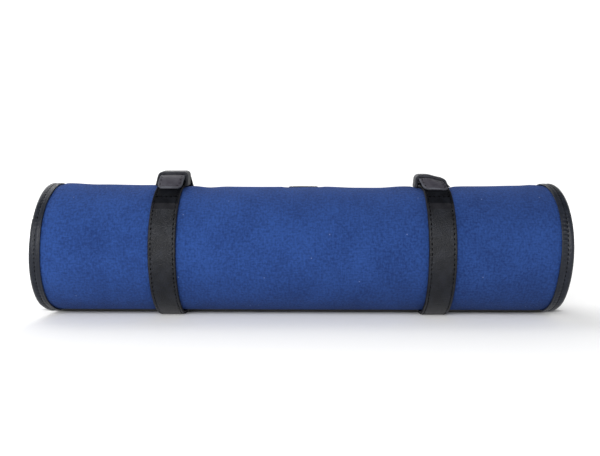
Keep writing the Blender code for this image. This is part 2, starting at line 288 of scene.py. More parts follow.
class Shape:
    """Gathers surfaces into one mesh, with their own normals, UVs and materials."""

    def __init__(self):
        self.points, self.faces, self.normals, self.uvs, self.slots = [], [], [], [], []
        self.count = 0

    def _add(self, points, faces, normals, uvs, slots):
        """Points (n, 3), faces (f, k) of indices, corner normals (f, k, 3), corner UVs (f, k, 2) and
        the f material slots."""
        self.points.append(points.reshape(-1, 3))
        self.faces += (faces + self.count).tolist()
        self.normals.append(normals.reshape(-1, 3))
        self.uvs.append(uvs.reshape(-1, 2))
        self.slots += slots
        self.count += len(self.points[-1])

    def sweep(self, rings, us, vs, slots=0, before=None, after=None):
        """A skin over rings (m, n, 3). Us are the n + 1 lengths round a ring, vs the m lengths along
        them. Slots is one material slot, or one for each side of a ring or of each ring. Before and
        after are the neighbouring piece's rings, so that shading runs on."""
        count, ring = rings.shape[:2]
        first = 2 * rings[:1] - rings[1:2] if before is None else before[None]
        last = 2 * rings[-1:] - rings[-2:-1] if after is None else after[None]
        longer = np.concatenate([first, rings, last])
        along = longer[2:] - longer[:-2]
        around = np.roll(rings, -1, 1) - np.roll(rings, 1, 1)
        facing = np.cross(around, along)
        inside_out = (facing * (rings - rings.mean(1, keepdims=True))).sum() < 0
        turn, sign = (slice(None, None, -1), -1) if inside_out else (slice(None), 1)
        normals = unit(sign * facing)
        i, j, corners = quad_corners(count, ring)
        faces = np.stack([a * ring + b for a, b in corners], -1)
        u = np.stack([us[j], us[j + 1], us[j + 1], us[j]], -1)
        v = np.stack([vs[i], vs[i], vs[i + 1], vs[i + 1]], -1)
        shades = np.stack([normals[a, b] for a, b in corners], -2)
        start = self.count
        self._add(
            rings,
            faces.reshape(-1, 4)[:, turn],
            shades.reshape(-1, 4, 3)[:, turn],
            np.stack([u, v], -1).reshape(-1, 4, 2)[:, turn],
            np.broadcast_to(slots, (count - 1, ring)).ravel().tolist(),
        )
        self._cap(start, rings[0], -along[0], int(np.min(slots)))
        self._cap(start + (count - 1) * ring, rings[-1], along[-1], int(np.min(slots)))

    def _cap(self, start, ring, out, slot):
        order = np.arange(len(ring))
        normal = newell(ring)
        if (normal * out).sum() < 0:
            order, normal = order[::-1], -normal
        place = ring[order] - ring.mean(0)
        self.faces.append((order + start).tolist())
        self.normals.append(np.tile(normal, (len(ring), 1)))
        self.uvs.append(np.stack([place[:, 0], place[:, 1] + place[:, 2]], -1))
        self.slots.append(slot)

    def stitches(self, places, ways, outs, length=STITCH, radius=THREAD_RADIUS, sink=0.38):
        """Thread standing proud in short arcs, whose ends dive into the leather."""
        along = np.array([-1.0, -0.82, -0.4, 0.0, 0.4, 0.82, 1.0])
        thick = np.array([0.02, 0.6, 0.95, 1.0, 0.95, 0.6, 0.02])
        turned = np.radians(np.arange(0, 360, 60))
        for place, way, out in zip(places, unit(ways), unit(outs)):
            side = np.cross(way, out)
            around = np.cos(turned)[:, None] * out + np.sin(turned)[:, None] * side
            middle = place + along[:, None] * way * length / 2 - (along**2)[:, None] * out * sink
            rings = middle[:, None] + around * thick[:, None, None] * radius
            normals = unit(around + 0.8 * (along**3)[:, None, None] * way)
            self._tube(rings, normals, length)

    def row_across(self, places, out, **thread):
        """Stitches one after the other along the roll, all facing one way in the section plane."""
        ways = np.tile([1.0, 0.0, 0.0], (len(places), 1))
        self.stitches(places, ways, np.tile([0.0, *out], (len(places), 1)), **thread)

    def _tube(self, rings, normals, length):
        count, ring = rings.shape[:2]
        i, j, corners = quad_corners(count, ring)
        corners = [corners[index] for index in (0, 3, 2, 1)]
        faces = np.stack([a * ring + b for a, b in corners], -1).reshape(-1, 4)
        shades = np.stack([normals[a, b] for a, b in corners], -2)
        u = np.stack([j, j, j + 1, j + 1], -1) * THREAD_SIDE
        v = np.stack([i, i + 1, i + 1, i], -1) * length / (count - 1)
        start = self.count
        uvs = np.stack([u, v], -1).astype(float)
        self._add(rings, faces, shades, uvs, [THREAD_SLOT] * len(faces))
        way = (rings[-1] - rings[-2]).mean(0)
        self._cap(start, rings[0], (rings[0] - rings[1]).mean(0), THREAD_SLOT)
        self._cap(start + (count - 1) * ring, rings[-1], way, THREAD_SLOT)

    def make(self, name, materials):
        mesh = bpy.data.meshes.new(name)
        mesh.from_pydata((np.concatenate(self.points) * MM).tolist(), [], self.faces)
        for material in materials:
            mesh.materials.append(material)
        mesh.polygons.foreach_set("material_index", self.slots)
        layer = mesh.uv_layers.new(name=UV_NAME)
        layer.data.foreach_set("uv", (np.concatenate(self.uvs) * MM).ravel())
        mesh.shade_smooth()
        mesh.normals_split_custom_set(np.concatenate(self.normals).tolist())
        mesh.update()
        made = bpy.data.objects.new(name, mesh)
        bpy.context.scene.collection.objects.link(made)
        return made


# ---- materials


class Tree:
    """A node tree, with short ways to add to it."""

    def __init__(self, tree):
        self.tree = tree

    def node(self, kind, settings=None, **inputs):
        made = self.tree.nodes.new("ShaderNode" + kind)
        for key, value in (settings or {}).items():
            setattr(made, key, value)
        for key, value in inputs.items():
            self.put(made.inputs[key], value)
        return made

    def put(self, socket, value):
        if isinstance(value, bpy.types.NodeSocket):
            self.tree.links.new(value, socket)
        else:
            socket.default_value = value

    def math(self, operation, *values):
        made = self.node("Math", {"operation": operation})
        for socket, value in zip(made.inputs, values):
            self.put(socket, value)
        return made.outputs[0]

    def plus(self, *values):
        return self.math("ADD", *values)

    def times(self, *values):
        return self.math("MULTIPLY", *values)

    def remap(self, value, low, high, to_low, to_high):
        made = self.node("MapRange", {"interpolation_type": "SMOOTHSTEP"})
        for socket, number in zip(made.inputs, (value, low, high, to_low, to_high)):
            self.put(socket, number)
        return made.outputs[0]


class Shader(Tree):
    """A material's nodes."""

    def __init__(self, name, colour, roughness, metallic=0.0):
        self.material = bpy.data.materials.new(name)
        self.material.use_nodes = True
        super().__init__(self.material.node_tree)
        self.base = self.tree.nodes["Principled BSDF"]
        self.set(Base_Color=(*colour, 1), Roughness=roughness, Metallic=metallic)
        self.material.diffuse_color = (*colour, 1)

    def set(self, **values):
        """Puts numbers, colours or other nodes' outputs on the shader's own sockets."""
        for name, value in values.items():
            self.put(self.base.inputs[name.replace("_", " ")], value)

    def surface(self, u_size, v_size):
        """The piece's own UV, in units of the given sizes in millimetres."""
        uv = self.node("UVMap", {"uv_map": UV_NAME}).outputs[0]
        scale = (1 / (u_size * MM), 1 / (v_size * MM), 1)
        scaled = self.node("VectorMath", {"operation": "MULTIPLY"})
        self.put(scaled.inputs[0], uv)
        self.put(scaled.inputs[1], scale)
        return scaled.outputs[0]

    def noise(self, u_size, v_size, detail=3.0, roughness=0.55):
        place = self.surface(u_size, v_size)
        look = {"Vector": place, "Scale": 1.0, "Detail": detail, "Roughness": roughness}
        return self.node("TexNoise", {"noise_dimensions": "2D"}, **look).outputs["Fac"]

    def cells(self, size, feature="F1", out="Distance"):
        settings = {"voronoi_dimensions": "2D", "feature": feature}
        made = self.node("TexVoronoi", settings, Vector=self.surface(size, size), Scale=1.0)
        return made.outputs[out]

    def mix(self, share, first, second):
        made = self.node("Mix", {"data_type": "RGBA"})
        self.put(made.inputs[0], share)
        self.put(made.inputs[6], first)
        self.put(made.inputs[7], second)
        return made.outputs[2]

    def bump(self, height, distance, strength=1.0):
        return self.node("Bump", Height=height, Distance=distance * MM, Strength=strength).outputs[0]

    def weave(self, u_size, v_size):
        """Height of a plain weave: threads that pass over and under each other."""
        split = self.node("SeparateXYZ", Vector=self.surface(u_size, v_size))
        u, v = split.outputs[0], split.outputs[1]
        across = self.math("ABSOLUTE", self.math("SINE", self.times(u, math.pi)))
        along = self.math("ABSOLUTE", self.math("SINE", self.times(v, math.pi)))
        total = self.plus(self.math("FLOOR", u), self.math("FLOOR", v))
        over = self.math("FLOORED_MODULO", total, 2.0)
        warp = self.times(across, self.math("POWER", along, FLAT_THREAD))
        weft = self.times(self.math("POWER", across, FLAT_THREAD), along)
        return self.plus(self.times(warp, over), self.times(weft, self.math("SUBTRACT", 1.0, over)))


def cloth_material(name, dark, light, lint, thread=(0.55, 0.6), sheen=0.11):
    """Woven cotton: threads, slubs, uneven dye and, where there is lint, a few specks of it and painted
    shade that darkens the cloth towards the roll's right end and its underside."""
    shader = Shader(name, light, 0.9)
    weave = shader.weave(*thread)
    slubs = shader.noise(0.9, 5.0)
    cross_slubs = shader.noise(5.0, 0.9)
    mottle = shader.noise(26.0, 31.0, 4.0)
    flecks = shader.noise(1.5, 1.7, 2.0)
    tone = shader.times(weave, 0.25)
    for part, weight in ((slubs, 0.8), (cross_slubs, 0.8), (mottle, 0.7), (flecks, 1.3)):
        tone = shader.plus(tone, shader.times(part, weight))
    colour = shader.mix(shader.remap(tone, 1.35, 2.45, 0.0, 1.0), (*dark, 1), (*light, 1))
    if lint:
        # painted shade: the cloth is darker towards the roll's right end and towards its underside
        split = shader.node("SeparateXYZ", Vector=shader.surface(1.0, 1.0))
        across = shader.remap(split.outputs[0], 110.0, 340.0, 1.0, 0.86)
        along = shader.remap(split.outputs[1], 140.0, 192.0, 0.80, 1.0)
        colour = shader.mix(shader.times(across, along), (0, 0, 0, 1), colour)
        speck = shader.remap(shader.cells(LINT_SPACING), 0.018, 0.032, 1.0, 0.0)
        chosen = shader.math("GREATER_THAN", shader.cells(LINT_SPACING, out="Color"), 0.78)
        share = shader.times(shader.times(speck, chosen), 0.5)
        colour = shader.mix(share, colour, (*lint, 1))
    relief = shader.plus(weave, shader.times(slubs, 0.6))
    relief = shader.plus(relief, shader.times(cross_slubs, 0.6))
    tint = [0.15 + 1.7 * channel for channel in light]
    shader.set(Base_Color=colour, Roughness=shader.remap(slubs, 0.2, 0.8, 0.86, 0.97))
    shader.set(Sheen_Weight=sheen, Sheen_Roughness=0.45, Sheen_Tint=(*tint, 1))
    shader.set(Specular_IOR_Level=0.14, Normal=shader.bump(relief, 0.22, 0.9))
    return shader.material


def leather_material(name, dark, light, grain, roughness, depth, gloss):
    """Black leather: pebbles with creases between them, and a slightly worn, greyer surface."""
    shader = Shader(name, light, roughness)
    pebbles = shader.cells(grain, "SMOOTH_F1")
    fine = shader.cells(grain * 0.42, "SMOOTH_F1")
    wear = shader.noise(7.0, 9.0, 4.0)
    scuffs = shader.noise(1.3, 1.3, 3.0)
    share = shader.remap(shader.plus(wear, shader.times(scuffs, 0.5)), 0.5, 1.0, 0.0, 1.0)
    rough = shader.remap(scuffs, 0.25, 0.75, roughness - 0.06, roughness + 0.09)
    height = shader.math("SUBTRACT", 1.0, pebbles)
    height = shader.math("SUBTRACT", height, shader.times(fine, 0.45))
    height = shader.plus(height, shader.times(scuffs, 0.25))
    shader.set(Base_Color=shader.mix(share, (*dark, 1), (*light, 1)), Roughness=rough)
    shader.set(Normal=shader.bump(height, depth, 0.9), Specular_IOR_Level=gloss)
    return shader.material


def thread_material():
    shader = Shader("sewing_thread", (0.008, 0.008, 0.010), 0.62)
    bands = {"wave_type": "BANDS", "bands_direction": "DIAGONAL"}
    wave = shader.node("TexWave", bands, Vector=shader.surface(0.5, 0.5), Scale=0.6)
    colour = shader.mix(shader.noise(2.0, 2.0), (0.004, 0.004, 0.005, 1), (0.014, 0.014, 0.016, 1))
    shader.set(Base_Color=colour, Normal=shader.bump(wave.outputs["Fac"], 0.12, 0.8))
    shader.set(Specular_IOR_Level=0.2)
    return shader.material


def felt_material():
    shader = Shader("needled_felt", (0.32, 0.32, 0.31), 1.0)
    fibres = shader.noise(0.4, 0.5, 5.0, 0.7)
    clumps = shader.noise(5.0, 5.0, 3.0)
    share = shader.times(shader.plus(fibres, clumps), 0.5)
    colour = shader.mix(share, (0.22, 0.22, 0.215, 1), (0.42, 0.42, 0.405, 1))
    shader.set(Base_Color=colour, Normal=shader.bump(fibres, 0.3), Sheen_Weight=0.3)
    return shader.material


def snap_material():
    """Gunmetal plating with fine turning marks and handling scratches."""
    shader = Shader("gunmetal_plating", (0.20, 0.20, 0.21), 0.3, 1.0)
    marks = shader.noise(0.15, 6.0, 3.0)
    scratches = shader.noise(4.0, 0.2, 3.0)
    rough = shader.remap(shader.plus(marks, scratches), 0.7, 1.3, 0.22, 0.42)
    colour = shader.mix(scratches, (0.15, 0.15, 0.16, 1), (0.26, 0.26, 0.27, 1))
    shader.set(Base_Color=colour, Roughness=rough, Normal=shader.bump(marks, 0.02, 0.5))
    return shader.material


# Cloths: darker and lighter dye, lint (which also turns on the painted shade), thread pitch and sheen
CANVAS_DYES = [(0.0111, 0.0328, 0.137), (0.0252, 0.0728, 0.271)]
LINING_DYES = [(0.022, 0.024, 0.030), (0.040, 0.042, 0.050)]
CANVAS_CLOTH = cloth_material("blue_canvas", *CANVAS_DYES, (0.26, 0.32, 0.46))
LINING_CLOTH = cloth_material("charcoal_lining", *LINING_DYES, None, (0.35, 0.35), 0.1)
FELT = felt_material()
THREAD = thread_material()
GUNMETAL = snap_material()

# Leathers: darker and lighter colour, size of the grain, roughness, depth of the grain and gloss
LEATHER_LOOKS = {
    "strap_leather": ((0.0040, 0.0046, 0.0066), (0.0105, 0.0118, 0.0160), 0.9, 0.37, 0.32, 0.22),
    "binding_leather": ((0.0048, 0.0066, 0.0118), (0.0105, 0.0130, 0.0200), 0.6, 0.38, 0.1, 0.26),
    "tab_leather": ((0.030, 0.028, 0.037), (0.050, 0.048, 0.059), 0.5, 0.5, 0.06, 0.22),
    "tab_edge": ((0.048, 0.050, 0.060), (0.078, 0.081, 0.095), 0.7, 0.5, 0.1, 0.1),
    "keeper_leather": ((0.014, 0.015, 0.019), (0.030, 0.031, 0.038), 0.7, 0.5, 0.12, 0.12),
    "matt_leather": ((0.008, 0.008, 0.010), (0.017, 0.017, 0.020), 0.7, 0.6, 0.12, 0.06),
    # painted shadow of the tab and keeper on the front strap: darker leather with almost no gloss
    "tab_shadow_leather": ((0.0027, 0.0030, 0.0041), (0.0066, 0.0074, 0.0100), 0.9, 0.7, 0.1, 0.03),
}
LEATHER = {name: leather_material(name, *look) for name, look in LEATHER_LOOKS.items()}
BINDINGS = [LEATHER["binding_leather"], THREAD]
TABS = [LEATHER["tab_leather"], THREAD, LEATHER["tab_edge"]]
STRAPS = [LEATHER["strap_leather"], THREAD, LEATHER["matt_leather"], LEATHER["tab_shadow_leather"]]


# ---- stretches of the rolled sheet

STRIP_BODIES = ["roll"] + [f"flap_strip_{number}" for number in range(1, FLAP_STRIPS + 1)]
BLEND_DEPTH = SHEET + BINDING_PROUD + GAP


class Stretch:
    """One stretch of the rolled sheet, from an inner winding angle to an outer one, and the bodies
    that it lies on. A stretch on one body is carried by it; one over a hinge stays where it is built,
    carried by neither of the hinge's two bodies."""

    def __init__(self, start, stop, bodies):
        self.start, self.stop, self.bodies = start, stop, bodies

    def place(self, made):
        if len(self.bodies) == 1:
            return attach(made, self.bodies[0])
        ends = [wound_point(0, wound, -BLEND_DEPTH) * MM for wound in (self.start, self.stop)]
        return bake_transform(made)


def stretches():
    made = [Stretch(WOUND, FLAP_WOUND + STRIP_WOUND / 2, STRIP_BODIES[:1])]
    for number in range(FLAP_STRIPS):
        start = FLAP_WOUND + STRIP_WOUND / 2 - number * STRIP_WOUND
        made.append(Stretch(start, start - STRIP_WOUND, STRIP_BODIES[number : number + 2]))
    made.append(Stretch(STRIP_WOUND / 2, 0.0, STRIP_BODIES[-1:]))
    return made


STRETCHES = stretches()


def levels(start, stop, fine):
    """Winding angles from the inner start to the outer stop, fine on the outer turn."""
    if start <= INNER_TURN:
        return spread(start, stop, fine)
    if stop >= INNER_TURN:
        return spread(start, stop, COARSE_STEP)
    hidden = spread(start, INNER_TURN, COARSE_STEP)[:-1]
    return np.concatenate([hidden, spread(INNER_TURN, stop, fine)])


def wound_skin(shape, section, start, stop, step=FINE_STEP, ghosts=True, lengths=None):
    """Sweeps a section along the rolled sheet. A section gives (x, height) for each winding angle.
    Ghosts are rings past the ends, so that shading runs on into the next stretch."""

    def ring(angle):
        x, height = section(angle).T
        return wound_point(x, angle, height)

    wound = levels(start, stop, step)
    rings = np.stack([ring(angle) for angle in wound])
    us = ring_lengths(section(stop)) if lengths is None else lengths
    before = ring(start + step) if ghosts and start < WOUND else None
    after = ring(stop - step) if ghosts and stop > 0 else None
    shape.sweep(rings, us, arc(wound), 0, before, after)


def layer_section(depth, thickness, low, high, columns, puff=None):
    """A sheet's section: fine outer and inner faces joined by narrow edges."""
    across = np.linspace(low, high, columns)
    outer = np.stack([across, np.full(columns, -depth)], -1)
    inner = np.stack([across[::-1], np.full(columns, -depth - thickness)], -1)
    flat = np.concatenate([outer, inner])
    if puff is None:
        return lambda wound: flat
    return lambda wound: flat + np.stack([np.zeros(len(flat)), -puff(flat[:, 0], wound)], -1)


SHEET_EDGE = ROLL_LENGTH / 2 - GAP - BINDING


def cloth_layer(name, depth, thickness, columns, material, replaced):
    """One cloth layer of the rolled sheet, in its stretches, each with UVs laid out as on the flat sheet.
    """
    section = layer_section(depth, thickness, -SHEET_EDGE, SHEET_EDGE, columns)
    lengths = ring_lengths(section(0.0))
    for number, stretch in enumerate(STRETCHES):
        shape = Shape()
        wound_skin(shape, section, stretch.start, stretch.stop, lengths=lengths)
        full = f"{name}_{number}" if number else name
        made = shape.make(full, [material])
        stretch.place(made)
        node = replaced if number == 0 else f"flap_{replaced}_{min(number, FLAP_STRIPS)}"
        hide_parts(node)


CHANNEL = 24.0  # along the inner panels from one row of stitches to the next
CHANNEL_PUFF = 0.15


def inner_panel(name, low, high, turns, depth, node):
    """Pocket panel or brush guard: a second sheet of canvas inside the roll, sewn in channels."""

    def puff(x, wound):
        share = (arc(wound) / CHANNEL) % 1.0
        return np.full(len(x), -CHANNEL_PUFF * math.sin(math.pi * share))

    section = layer_section(depth, POCKET, low, high, int((high - low) / 4), puff)
    shape = Shape()
    wound_skin(shape, section, turns[1], turns[0], step=2 * FINE_STEP, ghosts=False)
    across = np.arange(low + 5, high - 4, STITCH_PITCH)
    for number in range(1, int(arc(turns[1]) // CHANNEL) + 1):
        wound = wound_at(CHANNEL * number)
        if turns[0] + 5 < wound < turns[1] - 5:
            places = wound_point(across, wound, -depth - POCKET)
            shape.row_across(places, -out_at(wound))
    made = shape.make(name, [CANVAS_CLOTH, THREAD])
    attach(made, "roll")
    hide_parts(node)


# ---- leather edge binding

BINDING_ROW = 4.0  # from the sheet's edge to the binding's stitches
BINDING_LAP = 261.0  # winding angle where the left binding's outer end lies
LEG_POINTS = 15
GATHERS = 0.6  # how deep the right binding's folds are
STITCH_HEIGHT = 0.12  # over the face of the binding, in its groove


def lip_drop(inset, reach):
    """How far a round edge drops, as a share of its rounding, at an inset from the edge."""
    return 1 - np.sqrt(1 - (1 - np.clip(inset / reach, 0, 1)) ** 2)


def stitch_beat(length):
    """1 at every whole pitch of the binding's stitches and 0 half-way between."""
    return 0.5 + 0.5 * np.cos(2 * math.pi * length / BINDING_STITCH_PITCH)


def binding_face(off_edge, wound=None, gathers=0.0):
    """Height of the binding's outer face by the distance from the sheet's edge: two soft ridges
    with the stitch line drawn in between them, and puckers from one stitch to the next. Gathers
    is the depth of the folds where the tape is gathered."""
    drop = 1.3 * lip_drop(off_edge, 2.2) + 0.45 * lip_drop(BINDING_WIDTH - off_edge, 0.6)
    groove = 0.40 * bell(off_edge, BINDING_ROW, 0.7) + 0.16 * bell(off_edge, 6.6, 0.4)
    ridges = 0.20 * bell(off_edge, 2.0, 0.8) + 0.18 * bell(off_edge, 5.5, 0.7)
    height = BINDING_PROUD - drop - groove + ridges
    if wound is not None:
        pucker = 0.22 * bell(off_edge, BINDING_ROW + 0.4, 1.5)
        folds = gathers * gathered(wound) * bell(off_edge, 5.6, 1.3)
        height = height - (pucker + folds) * stitch_beat(arc(wound))
    return height


def gathered(wound):
    """How strongly the right binding is gathered, over the front of the roll."""
    return bell(wound, 245, 14)


def binding_width(side, wound):
    """Width of the hand-sewn tape, as a share of its plain width."""
    if side < 0:
        return 1 - 0.085 * (smooth((wound - 225) / 40) - smooth((wound - 275) / 20))
    return 1 + 0.16 * bell(wound, 205, 40)


def binding_outline(wound=None, lapped=0.0, gathers=0.0):
    """The U's ring in (distance from the sheet's edge, height): outer face, fold, inner face and
    back through the inside of the U. Lapped is how much the tape's other end lifts the outer face."""
    off = BINDING_WIDTH * (1 - np.cos(np.linspace(0, math.pi, LEG_POINTS))) / 2
    outer = np.stack([off[::-1], binding_face(off, wound, gathers)[::-1] + lapped], -1)
    middle = -SHEET / 2
    inner = np.stack([off, 2 * middle - binding_face(off, wound)], -1)
    inside_top, inside_bottom = BINDING_PROUD - BINDING, -SHEET - BINDING_PROUD + BINDING
    hollow = [
        (BINDING_WIDTH - 0.2, inside_bottom - 0.2),
        (BINDING_WIDTH - 0.6, inside_bottom),
        (BINDING + 0.1, inside_bottom),
        (BINDING + 0.1, inside_top),
        (BINDING_WIDTH - 0.6, inside_top),
        (BINDING_WIDTH - 0.2, inside_top + 0.2),
    ]
    return np.concatenate([outer, inner, hollow])


def lap(side, wound):
    """Lift where the left binding's two ends overlap, with a sharp step at the outer one."""
    if side > 0:
        return 0.0
    step = smooth((BINDING_LAP - wound) / 0.6)
    return 0.4 * float(step * (1 - smooth((BINDING_LAP - 6 - wound) / 12)))


def binding_corner(shape, side):
    """Leather that closes the binding where it runs round the leading edge's corner."""
    ring = binding_outline(0.0)[: 2 * LEG_POINTS]
    middle = np.array([BINDING_WIDTH / 2, -SHEET / 2])
    rings = []
    for back, share in ((0.0, 1.0), (0.4, 1.0), (1.0, 0.95), (1.35, 0.85), (1.5, 0.7)):
        height = middle[1] + (ring[:, 1] - middle[1]) * share
        off = middle[0] + (ring[:, 0] - middle[0]) * (0.5 + 0.5 * share)
        wound = -math.degrees(back / LEADING_RADIUS)
        rings.append(wound_point(side * (ROLL_LENGTH / 2 - off), wound, height))
    shape.sweep(np.stack(rings), ring_lengths(ring), np.linspace(0, 1.5, len(rings)))


def edge_binding(side_name, side, number, stretch):
    """The leather over one end of the sheet, along one of its stretches."""
    gathers = 0.0 if side < 0 else GATHERS

    def section(wound):
        ring = binding_outline(wound if wound < INNER_TURN else None, lap(side, wound), gathers)
        ring[:, 0] *= binding_width(side, wound)
        return np.stack([side * (ROLL_LENGTH / 2 - ring[:, 0]), ring[:, 1]], -1)

    shape = Shape()
    lengths = ring_lengths(section(0.0))
    step = math.degrees(BINDING_STITCH_PITCH / 5 / LEADING_RADIUS)
    wound_skin(shape, section, stretch.start, stretch.stop, step=step, lengths=lengths)
    inmost = min(stretch.start, INNER_TURN - 2)
    wound = wound_at(stitch_middles(arc(stretch.stop), arc(inmost), BINDING_STITCH_PITCH))
    x = side * (ROLL_LENGTH / 2 - BINDING_ROW * binding_width(side, wound))
    places = wound_point(x, wound, binding_face(BINDING_ROW) + STITCH_HEIGHT)
    ways = wound_point(x, wound - 1, 0.0) - wound_point(x, wound + 1, 0.0)
    shape.stitches(places, ways, np.insert(out_at(wound), 0, 0.0, 1), **BINDING_THREAD)
    if stretch is STRETCHES[-1]:
        binding_corner(shape, side)
    made = shape.make(f"{side_name}_binding_{number}", BINDINGS)
    stretch.place(made)
    node = f"flap_edge_binding_{min(number, FLAP_STRIPS)}" if number else "edge_binding"
    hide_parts(f"{side_name}_{node}")


def cross_binding(name, edge, towards, body):
    """The U over the leading or the inner edge, from one edge binding to the other."""
    ring = binding_outline()
    per_mm = math.degrees(1 / canvas_radius(edge)) * towards
    wound = edge + (ring[:, 0] - GAP - BINDING) * per_mm
    reach = ROLL_LENGTH / 2 - BINDING_WIDTH - GAP
    across = spread(-reach, reach, 1.5)
    pucker = 0.15 * bell(ring[:, 0], BINDING_ROW, 1.5) * np.sign(-SHEET / 2 - ring[:, 1])
    rings = [wound_point(x, wound, ring[:, 1] + pucker * stitch_beat(x)) for x in across]
    shape = Shape()
    shape.sweep(np.stack(rings), ring_lengths(ring), across)
    rows = np.arange(-reach + 2, reach - 2, BINDING_STITCH_PITCH)
    at = edge + (BINDING_ROW - GAP - BINDING) * per_mm
    places = wound_point(rows, at, binding_face(BINDING_ROW) + STITCH_HEIGHT)
    shape.row_across(places, out_at(at), **BINDING_THREAD)
    made = shape.make(f"{name}_leather", BINDINGS)
    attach(made, body)
    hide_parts(name)


# ---- straps, keepers, tabs and snaps


def ramp_height(wound):
    """How far a strap climbs to pass over the leading edge's binding."""
    return BINDING_PROUD * smooth((RAMP[0] - wound) / (RAMP[0] - RAMP[1]))


def strap_outline(half, thickness=STRAP):
    """A strap's ring round its middle: rounded edges, a slight crown and two stitch grooves."""
    corner = 0.75
    turned = np.radians(np.linspace(0, 90, 5))
    right = half - corner + corner * np.cos(turned)
    rise = thickness / 2 - corner + corner * np.sin(turned)
    across = np.linspace(half - corner - 0.3, -(half - corner - 0.3), 31)
    groove = 0.16 * bell(np.abs(across), half - EDGE_STITCHES, 0.45)
    crown = 0.16 * (1 - (across / half) ** 2)
    top = np.stack([across, thickness / 2 - groove + crown], -1)
    left_top = np.stack([-right[::-1], rise[::-1]], -1)
    right_top = np.stack([right, rise], -1)
    bottom = np.array([(half - 0.4, -thickness / 2), (right[0], -rise[0])])
    return np.concatenate([right_top, top, left_top, bottom[::-1] * (-1, 1), bottom])


def strap_line(wound, height=None, sunk=0.0):
    """Middle line of a strap that lies on the roll, with the way out of it."""
    height = GAP + STRAP / 2 + ramp_height(wound) if height is None else height
    out = out_at(wound)
    reach = canvas_radius(wound) - pressed(wound) + height - sunk * sink(wound)
    return AXIS + out * reach[..., None], out


def ribbon(shape, centre, line, outs, outline, vs, before=None, after=None, scale=None, move=None, face=0):
    """Sweeps a strap's outline along a line in the section plane, and then moves it. Face is the
    material slot of the strap's faces, or one for each stretch of the line."""

    def ring(point, out, share):
        width, thick = (1.0, 1.0) if share is None else share
        x = centre + outline[:, 0] * width
        plane = point + out * (outline[:, 1] * thick)[:, None]
        return np.concatenate([x[:, None], plane], 1)

    scale = [None] * len(line) if scale is None else scale
    rings = np.stack([ring(*item) for item in zip(line, outs, scale)])
    first = None if before is None else ring(*before, None)
    last = None if after is None else ring(*after, None)
    rings = rings if move is None else move(rings)
    sides = np.abs(outline[:, 0]) > np.abs(outline[:, 0]).max() - 0.7
    slots = np.where(sides & np.roll(sides, -1), EDGE_SLOT, np.reshape(face, (-1, 1)))
    shape.sweep(rings, ring_lengths(outline), vs, slots, first, last)


def edge_rows(shape, centre, reach, line, outs, vs, thickness=STRAP, skip=(0.0, 0.0), move=None):
    """The two rows of stitches along a ribbon. Reach is how far from its middle they lie, or one
    for each point of the line."""
    along = stitch_middles(min(vs) + skip[0], max(vs) - skip[1], STITCH_PITCH)
    order = np.argsort(vs)
    columns = (*line.T, *outs.T, np.broadcast_to(reach, vs.shape))
    sampled = [np.interp(along, vs[order], values[order]) for values in columns]
    point, out = np.stack(sampled[:2], -1), unit(np.stack(sampled[2:4], -1))
    ways = np.stack([np.full(len(out), STITCH_SLANT), out[:, 1], -out[:, 0]], -1)
    for side in (-1, 1):
        x = centre + side * sampled[4]
        places = np.insert(point + out * (thickness / 2 + 0.06), 0, x, 1)
        places = places if move is None else move(places)
        shape.stitches(places, ways, np.insert(out, 0, 0.0, 1))


def strap_pieces(side):
    centre = STRAP_CENTRES[side]
    outline = strap_outline(STRAP_WIDTH / 2)
    front_end = STRAP_TOP_ANGLE + 360 - LEADING_ANGLE
    backs = [f"back_strap_{number}" for number in range(1, FLAP_STRIPS)]
    nodes = ["front_strap", *backs, "strap_tail"]
    for number, (node, stretch) in enumerate(zip(nodes, STRETCHES)):
        start = min(stretch.start, front_end)
        wound = spread(start, stretch.stop, STRAP_STEP)
        line, outs = strap_line(wound, sunk=SUNK[side])
        vs = -arc(wound)
        before = strap_line(np.array(start + STRAP_STEP)) if number else None
        after = strap_line(np.array(stretch.stop - STRAP_STEP))
        shape = Shape()
        # towards the closure the face grows matt, then takes the leather painted dark as the tab's shadow
        face = np.where(wound[1:] > CROSS_ROW - MATT_REACH, EDGE_SLOT, 0)
        face[wound[1:] > CROSS_ROW - TAB_SHADOW_REACH] = TAB_SHADOW_SLOT
        ribbon(shape, centre, line, outs, outline, vs, before, after, face=face)
        edge_rows(shape, centre, STRAP_ROWS, line, outs, vs)
        if number == 0:
            cross_stitches(shape, centre)
        made = shape.make(f"{side}_strap_{number}", STRAPS)
        stretch.place(made)
        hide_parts(f"{side}_{node}")


def cross_stitches(shape, centre):
    """The row that sews the front strap down to the canvas."""
    point, out = strap_line(np.array(CROSS_ROW))
    reach = STRAP_ROWS - 1.2
    rows = spread(-reach, reach, STITCH_PITCH)
    shape.row_across(np.array([[centre + x, *(point + out * (STRAP / 2 + 0.16))] for x in rows]), out)


# Places of the snap stack, as heights over the roll's axis at the snap
BASE_BOTTOM = canvas_radius(SNAP_WOUND) + STRAP_PROUD + GAP
CAP_BOTTOM = BASE_BOTTOM + SNAP + GAP
KEEPER_BOTTOM = CAP_BOTTOM + SNAP + GAP
TAIL_MIDDLE = KEEPER_BOTTOM + KEEPER_LOWER + GAP + STRAP / 2
KEEPER_TOP = TAIL_MIDDLE + STRAP / 2 + GAP + KEEPER
SNAP_OUT = radial(SNAP_ANGLE)
SNAP_FORWARD = forward(SNAP_ANGLE)
TAIL_END = KEEPER_WIDTH / 2 + 0.2
TAB_START = TAIL_END + GAP
TAB_INSIDE = 4.0  # how far the pull tab's own mesh reaches back into the keeper
TAB_HALF = TAB_WIDTH / 2

# How each closure lies in use: its shift along the roll at the keeper and at the tab's tip, its
# drop, and how much further its right side drops
LEAN = {"left": (1.7, 0.6, 0.0, 0.0), "right": (-2.6, 0.8, 1.3, 2.3)}
FEET = {"left": (-10.9, 10.9), "right": (-13.2, 10.6)}  # the keeper's feet, along the roll
SNAP_SCALE = {"left": 1.0, "right": 0.6}


